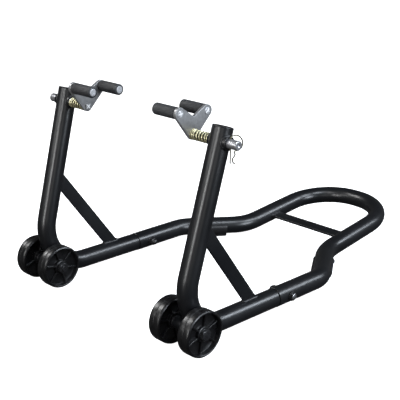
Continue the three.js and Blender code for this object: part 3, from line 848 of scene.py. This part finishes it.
def wheel(x, turn):
    """Wheel at that X. turn sets where its ribs stand at rest."""
    hub = Vector((x, AXLE.y, AXLE.z))
    parts = [turned(wheel_profile(), hub, sides=96)]
    for i in range(RIB_COUNT):
        for way in (1, -1):
            vertices, faces = wheel_rib(turn + 2 * math.pi * i / RIB_COUNT, way)
            parts.append(([hub + v for v in vertices], faces))
    return merged(parts)


def axle_bolt():
    """Hexagon bolt with a plain shank and a threaded end."""
    low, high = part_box("axle_bolt_right")
    seat, overlap = Vector((high.x - AXLE_HEAD_HEIGHT, AXLE.y, AXLE.z)), 0.0001
    flange = turned(disc_end(AXLE_FLANGE_R, AXLE_FLANGE_THICK, FASTENER_EDGE), seat)
    head = hexagon(AXLE_ACROSS_FLATS, AXLE_HEAD_HEIGHT, seat, X_AXIS)
    shank = turned(disc_end(AXLE_R, seat.x - low.x - AXLE_THREAD_LENGTH, FASTENER_EDGE), seat, -X_AXIS)
    start = Vector((low.x + AXLE_THREAD_LENGTH + overlap, AXLE.y, AXLE.z))
    thread = threaded_rod(AXLE_R, AXLE_THREAD_LENGTH, AXLE_PITCH, start, -X_AXIS)
    return merged([flange, head, shank, thread])


def axle_nut():
    low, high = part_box("axle_nut_right")
    seat, bore = Vector((high.x, AXLE.y, AXLE.z)), AXLE_R + 0.0001
    return hexagon(AXLE_ACROSS_FLATS, high.x - low.x, seat, -X_AXIS, bore, True)


# ---------------------------------------------------------------- cradles

TILT = Matrix.Rotation(-PLATE_TILT, 3, "X")


def peg_centre(side_of_plate):
    return CRADLE + TILT @ radial(math.pi / 2 - side_of_plate * PEG_SPREAD) * PEG_REACH


def arc_normals(middle, radius, start, end, steps):
    """(point, outward normal) pairs along an arc."""
    pairs = []
    for k in range(steps + 1):
        angle = start + (end - start) * k / steps
        normal = Vector((math.cos(angle), math.sin(angle)))
        pairs.append((middle + normal * radius, normal))
    return pairs


def plate_outline():
    """Points and outward normals round the V plate: foot, rear ear, notch, front ear."""
    across, up = PEG_REACH * math.sin(PEG_SPREAD), PEG_REACH * math.cos(PEG_SPREAD)
    outer = -PEG_SPREAD - math.asin((PEG_TIP_R - PLATE_FOOT_R) / PEG_REACH)
    rise = up - NOTCH_Z
    inner = math.atan2(rise, across) + math.pi - math.acos(PEG_TIP_R / math.hypot(across, rise))
    notch_r = 0.004
    notch = Vector((0, NOTCH_Z + notch_r / math.sin(inner)))
    pairs = arc_normals(Vector((0, 0)), PLATE_FOOT_R, -math.pi - outer, outer, 20)
    pairs += arc_normals(Vector((across, up)), PEG_TIP_R, outer, inner, 28)
    for point, normal in arc_normals(notch, notch_r, inner + math.pi, 2 * math.pi - inner, 10):
        pairs.append((point, -normal))
    pairs += arc_normals(Vector((-across, up)), PEG_TIP_R, math.pi - inner, math.pi - outer, 28)
    return pairs


def v_plate():
    """Flat plate with its edges rounded all the way round."""
    low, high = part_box("v_plate_right")
    edge = 0.0007
    rings = []
    for angle in quarter_turn(4):
        inset, depth = edge * (1 - math.sin(angle)), edge * (1 - math.cos(angle))
        rings.append((low.x + depth, inset))
    rings += [(low.x + high.x - x, inset) for x, inset in reversed(rings)]
    shape = []
    for x, inset in rings:
        ring = []
        for point, normal in plate_outline():
            spot = point - normal * inset
            ring.append(CRADLE + TILT @ Vector((x, spot.x, spot.y)))
        shape.append(ring)
    return loft(shape)


def staked_end(middle, radius, proud, way):
    """A bar's end standing a little out of the plate. way is +1 or -1 along X."""
    chamfer = 0.0004
    seat = middle - X_AXIS * (way * STAKE_DEPTH)
    return turned(disc_end(radius, STAKE_DEPTH + proud, chamfer), seat, X_AXIS * way, 64)


def stake_marks(middle, reach, way, turn):
    """Two crossed ridges that a chisel raised on a bar's end, turned by turn."""
    half_width, height, sunk, steps = 0.00125, 0.0007, 0.0002, 8
    ridges = []
    for angle in (turn, turn + math.pi / 2):
        along, across = radial(angle), radial(angle + math.pi / 2)
        rings = []
        for step in range(-steps, steps + 1):
            fade = math.sqrt(1 - (step / (steps + 0.3)) ** 2)
            w, h = half_width * fade, height * fade
            point = middle + along * (reach * step / steps)
            section = [(-w, -sunk), (-w / 2, h), (w / 2, h), (w, -sunk)]
            rings.append([point + across * u + X_AXIS * (way * v) for u, v in section])
        ridges.append(loft(rings))
    return merged(ridges)


def stem_neck():
    """Thinner end of the stem, from the plate to just past the shoulder inside the sleeve."""
    start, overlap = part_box("stem_right")[0].x, 0.001
    profile = disc_end(STEM_NECK_R, SHOULDER_X + overlap - start, 0.0006)
    return turned(profile, CRADLE + X_AXIS * start, sides=64)


def stem():
    """Turned bar from the shoulder to a chamfered outer end with a centre hole."""
    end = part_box("stem_right")[1].x
    profile = round_corners([
        (POLE, SHOULDER_X), (STEM_NECK_R, SHOULDER_X), (STEM_R, SHOULDER_X + 0.001),
        (STEM_R, end - STEM_CHAMFER), (STEM_R - STEM_CHAMFER, end), (0.0026, end),
        (0.0011, end - 0.0011), (POLE, end - 0.0012),
    ], 0.0002, 2)
    return turned(profile, CRADLE, sides=64)


def spring():
    """Round wire wound about the stem with closed ends."""
    low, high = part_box("spring_right")
    x0, x1 = low.x + SPRING_WIRE_R, high.x - SPRING_WIRE_R
    closed_gap = 0.00025
    closed_pitch = 2 * SPRING_WIRE_R + closed_gap
    open_pitch = (x1 - x0 - 2 * closed_pitch) / (SPRING_TURNS - 2)
    steps = SPRING_TURNS * 40
    points = []
    for k in range(steps + 1):
        turn = SPRING_TURNS * k / steps
        open_turns = min(max(turn - 1, 0), SPRING_TURNS - 2)
        x = x0 + (turn - open_turns) * closed_pitch + open_turns * open_pitch
        points.append(CRADLE + X_AXIS * x + radial(2 * math.pi * turn) * SPRING_R)
    return sweep(with_tangents(points), SPRING_WIRE_R, 12)


def with_tangents(points):
    """(point, tangent) stations along a line of points."""
    stations = []
    for i, point in enumerate(points):
        ahead, behind = points[min(i + 1, len(points) - 1)], points[max(i - 1, 0)]
        stations.append((point, (ahead - behind).normalized()))
    return stations


def peg_pin(side_of_plate):
    """Headed pin whose shank passes through the plate and is staked over behind it."""
    low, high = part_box("pin_front_right")
    near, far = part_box("v_plate_right")
    shoulder, edge = near.x - CLEARANCE, 0.0005
    profile = round_corners([
        (POLE, low.x), (PIN_R - edge, low.x), (PIN_R, low.x + edge), (PIN_R, shoulder),
        (PIN_SHANK_R, shoulder), (PIN_SHANK_R, far.x), (POLE, far.x),
    ], 0.0002, 2)
    middle = peg_centre(side_of_plate)
    end = staked_end(middle + X_AXIS * far.x, PIN_STAKE_R, high.x - far.x, 1)
    return merged([turned(profile, middle), end])


def peg_rubber(side_of_plate):
    """Sleeve with moulded ribs along it that die out into a plain rounded rim at the free end."""
    low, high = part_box("rubber_front_right")
    middle = peg_centre(side_of_plate)
    rim_end = low.x + RUBBER_RIM_R
    rows = []                                 # X, change of radius, share of the ribs' depth
    for a in quarter_turn(5):
        rows.append((low.x + RUBBER_RIM_R * (1 - math.cos(a)), -RUBBER_RIM_R * (1 - math.sin(a)), 0.0))
    rows += [(rim_end + 0.0004, 0.0, 0.15), (rim_end + 0.0016, 0.0, 1.0)]
    rows += [(high.x - 0.0012, 0.0, 1.0), (high.x - 0.0004, -0.0003, 0.8), (high.x, -0.0010, 0.5)]
    count = RUBBER_RIBS * 10
    angles = [2 * math.pi * k / count for k in range(count)]
    rings = []
    for x, change, ribbed in rows:
        ring = []
        for angle in angles:
            valley = 1 - abs(math.cos(angle * RUBBER_RIBS / 2)) ** 0.5
            radius = RUBBER_R + change - RUBBER_RIB_DEPTH * valley * ribbed
            ring.append(middle + X_AXIS * x + radial(angle) * radius)
        rings.append(ring)
    for x in (high.x, low.x):
        rings.append([middle + X_AXIS * x + radial(angle) * PIN_R for angle in angles])
    return loft(rings, closed=True)


def catmull_rom(points, steps=10):
    """A smooth line through the points."""
    padded = [points[0] * 2 - points[1]] + points + [points[-1] * 2 - points[-2]]
    line = []
    for a, b, c, d in zip(padded, padded[1:], padded[2:], padded[3:]):
        for k in range(steps):
            t = k / steps
            line.append(0.5 * (2 * b + (c - a) * t + (2 * a - 5 * b + 4 * c - d) * t * t
                               + (3 * b - a - 3 * c + d) * t ** 3))
    return line + [points[-1]]


def r_clip():
    """Spring clip: a straight leg through the stem, and a leg that bows round it to a waved tail."""
    x = centre("r_clip_right").x
    outline = [
        (0, -31.8), (0, -10), (0, 4), (0, 8.2), (2, 10.8), (6.5, 12), (13.4, 11.6), (21, 8), (26.5, 1),
        (27.4, -5), (24.5, -10.5), (18, -13), (12, -13), (8.4, -14.8), (10.7, -18.3), (8.4, -22),
        (4.8, -25.5), (6, -30), (10, -34),
    ]
    points = [CRADLE + Vector((x, y / 1000, z / 1000)) for y, z in outline]
    return sweep(with_tangents(catmull_rom(points)), CLIP_WIRE_R, 12)


# ---------------------------------------------------------------- put the stand together

RIB_TURNS = {"outer": 0.35, "inner": 0.8}

for suffix, side in SIDES.items():
    def add(name, shape, material, body, slot, *nodes, sharp_degrees=SHARP_DEGREES):
        pieces = [f"{node}_{suffix}" for node in nodes]
        return place(f"{name}_{suffix}_look", mirrored(shape, side), material, body, slot, *pieces,
                     sharp_degrees=sharp_degrees)

    cradle = f"cradle_{suffix}"
    add("side_tube", side_tube(), coat, "frame", "frame_paint", "side_tube")
    add("tube_cap", tube_cap(), nylon, "frame", "cap_plastic", "tube_cap")
    add("brace", brace(), coat, "frame", "frame_paint", "brace")
    add("brace_welds", brace_welds(), coat, "frame", "frame_paint", sharp_degrees=SHARP_WELD_DEGREES)
    add("stem_sleeve", stem_sleeve(), coat, "frame", "frame_paint", "stem_sleeve")
    add("sleeve_welds", sleeve_welds(), coat, "frame", "frame_paint", sharp_degrees=SHARP_WELD_DEGREES)
    add("axle_boss", axle_boss(), coat, "frame", "frame_paint", "axle_boss")
    add("foot_pad", foot_pad(), foot_black, "frame", "foot_rubber", "foot_pad")
    add("foot_screw", foot_screw(), black_oxide, "frame", "dark_fastener", "foot_screw")
    add("joint_bolt", joint_bolt(), black_oxide, "frame", "dark_fastener", "joint_bolt")
    # the dome's lighter steel is a painted highlight
    add("joint_crown", joint_crown(), painted_highlight_steel, "frame", "dark_fastener")
    add("joint_nut", joint_nut(), black_oxide, "frame", "dark_fastener", "joint_nut")
    for washer in ("joint_washer_outer", "joint_washer_inner"):
        washer_ring = plain_ring(f"{washer}_right", JOINT_BORE_R, JOINT, 0.0004)
        add(washer, washer_ring, black_oxide, "frame", "dark_fastener", washer)
    add("axle_bolt", axle_bolt(), black_oxide, "frame", "dark_fastener", "axle_bolt")
    add("axle_nut", axle_nut(), black_oxide, "frame", "dark_fastener", "axle_nut")
    for where in ("outer", "inner"):
        spacer, wheel_node = f"axle_spacer_{where}", f"wheel_{where}"
        spacer_ring = plain_ring(f"{spacer}_right", AXLE_R + CLEARANCE, AXLE, 0.0005)
        add(spacer, spacer_ring, black_oxide, "frame", "dark_fastener", spacer)
        wheel_x = centre(f"{wheel_node}_right").x
        add(wheel_node, wheel(wheel_x, RIB_TURNS[where]), nylon, f"{wheel_node}_{suffix}",
            "wheel_plastic", wheel_node)
    seat = plain_ring("spring_seat_right", STEM_NECK_R + CLEARANCE, STEM, 0.0003, 64)
    add("spring_seat", seat, yellow_zinc, f"spring_seat_{suffix}", "yellow_zinc", "spring_seat")
    add("stem", stem(), zinc_stem, cradle, "zinc", "stem")
    add("v_plate", v_plate(), zinc_plate, cradle, "zinc", "v_plate")
    stem_end = CRADLE + X_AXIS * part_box("stem_right")[0].x
    # the neck inside the spring is dark: painted shade between the coils
    add("stem_neck", stem_neck(), painted_shade_steel, cradle, "zinc")
    add("stem_stake", staked_end(stem_end, STEM_NECK_R, STEM_STAKE_PROUD, -1), zinc_plate, cradle, "zinc")
    marks = stake_marks(stem_end - X_AXIS * STEM_STAKE_PROUD, STEM_MARK_REACH, -1, STEM_MARK_TURN)
    add("stem_marks", marks, bright_zinc, cradle, "zinc")
    coil = add("spring", spring(), yellow_zinc, "frame", "yellow_zinc", "spring")
    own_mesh(coil)
    add("r_clip", r_clip(), clip_wire, cradle, "yellow_zinc", "r_clip")
    for where, way in (("front", -1), ("rear", 1)):
        add(f"pin_{where}", peg_pin(way), zinc_pin, cradle, "zinc", f"pin_{where}")
        pin_end = peg_centre(way) + X_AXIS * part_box("pin_front_right")[1].x
        marks = stake_marks(pin_end, PIN_MARK_REACH, 1, PIN_MARK_TURNS[where])
        add(f"pin_{where}_marks", marks, bright_zinc, cradle, "zinc")
        add(f"rubber_{where}", peg_rubber(way), rubber, cradle, "rubber", f"rubber_{where}",
            sharp_degrees=50)

place("handle_tube_look", handle_tube(), coat, "frame", "frame_paint", "handle_tube")
place("cross_bar_look", cross_bar(), coat, "frame", "frame_paint", "cross_bar")
place("cross_welds_look", cross_welds(), coat, "frame", "frame_paint", sharp_degrees=SHARP_WELD_DEGREES)

# ---------------------------------------------------------------- floor, lights and camera

CAMERA_PLACE = Vector((1.1766, -0.9092 + CORNER_Y, 0.7064))
CAMERA_AZIMUTH = math.radians(45.68)
CAMERA_ELEVATION = math.radians(18.40)
CAMERA_ROLL = math.radians(0.47)
CAMERA_LENS = 83.03


def add_floor():
    """A plain white floor that isn't mirrored in the paint."""
    size = 30
    vertices = [(-size, -size, 0), (size, -size, 0), (size, size, 0), (-size, size, 0)]
    material, _, _, principled = shader("pale_floor", (0.9, 0.9, 0.9), 0.9)
    principled.inputs["Emission Color"].default_value = (1, 1, 1, 1)
    principled.inputs["Emission Strength"].default_value = 1.0
    floor = new_object("floor", vertices, [(0, 1, 2, 3)], material)
    floor.visible_glossy = False
    floor.visible_diffuse = False


def add_softbox(name, azimuth, elevation, distance, width, height, radiance, colour=(1, 1, 1)):
    """A rectangular light aimed at the stand's middle. Azimuth 0 stands in front, 90 on the right."""
    light = bpy.data.lights.new(name, "AREA")
    light.shape = "RECTANGLE"
    light.size, light.size_y = width, height
    light.energy = radiance * math.pi * width * height
    light.color = colour
    obj = bpy.data.objects.new(name, light)
    bpy.context.scene.collection.objects.link(obj)
    a, e = math.radians(azimuth), math.radians(elevation)
    outward = Vector((math.sin(a) * math.cos(e), -math.cos(a) * math.cos(e), math.sin(e)))
    obj.location = Vector((0, 0, 0.2)) + outward * distance
    obj.rotation_euler = outward.to_track_quat("Z", "Y").to_euler()


def add_world():
    """White to the camera, and a dim room, darker below, to the object."""
    world = bpy.data.worlds.new("studio")
    world.use_nodes = True
    nodes, links = world.node_tree.nodes, world.node_tree.links
    background = nodes["Background"]
    place_in_sky = nodes.new("ShaderNodeTexCoord")
    split = nodes.new("ShaderNodeSeparateXYZ")
    height = nodes.new("ShaderNodeMapRange")
    height.inputs["From Min"].default_value = -1
    levels = [(0.3, 0.04), (0.5, 0.11), (0.7, 0.035)]
    room = ramp(nodes, links, height.outputs["Result"], [(at, (level,) * 3) for at, level in levels])
    seen = nodes.new("ShaderNodeLightPath")
    mix = nodes.new("ShaderNodeMix")
    mix.data_type = "RGBA"
    mix.inputs["B"].default_value = (1, 1, 1, 1)
    links.new(place_in_sky.outputs["Generated"], split.inputs["Vector"])
    links.new(split.outputs["Z"], height.inputs["Value"])
    links.new(room.outputs["Color"], mix.inputs["A"])
    links.new(seen.outputs["Is Camera Ray"], mix.inputs["Factor"])
    links.new(mix.outputs["Result"], background.inputs["Color"])
    bpy.context.scene.world = world


def add_camera():
    camera = bpy.data.cameras.new("camera")
    camera.lens = CAMERA_LENS
    camera.sensor_width = 36
    obj = bpy.data.objects.new("camera", camera)
    bpy.context.scene.collection.objects.link(obj)
    a, e, r = CAMERA_AZIMUTH, CAMERA_ELEVATION, CAMERA_ROLL
    back = Vector((math.sin(a) * math.cos(e), -math.cos(a) * math.cos(e), math.sin(e)))
    right = Vector((math.cos(a), math.sin(a), 0))
    up = back.cross(right)
    right, up = right * math.cos(r) + up * math.sin(r), up * math.cos(r) - right * math.sin(r)
    rotation = Matrix((right, up, back)).transposed()
    obj.matrix_world = Matrix.Translation(CAMERA_PLACE) @ rotation.to_4x4()
    bpy.context.scene.camera = obj


COOL = (0.92, 1.0, 1.10)

add_floor()
add_world()
add_softbox("front_strip", 8, 8, 3.0, 0.5, 1.2, 15.5)
add_softbox("rail_softbox", 137, 29, 3.0, 0.8, 0.8, 17, COOL)
add_softbox("handle_softbox", 71, 55, 3.0, 0.8, 0.8, 16.5, COOL)
add_softbox("wheel_softbox", -58, 37, 3.0, 0.8, 0.8, 17.5)
add_softbox("upper_softbox", 112, 42, 3.0, 0.9, 0.9, 14, COOL)
add_softbox("top_front_fill", 20, 50, 3.0, 0.9, 0.9, 6)
add_softbox("right_softbox", 95, 12, 3.0, 1.0, 1.0, 16, COOL)
add_softbox("left_fill", -20, 20, 3.0, 1.0, 1.0, 5.5)
add_softbox("near_fill", 45, 8, 3.0, 1.0, 1.0, 1.5)
bpy.context.scene.view_settings.view_transform = "Standard"
add_camera()
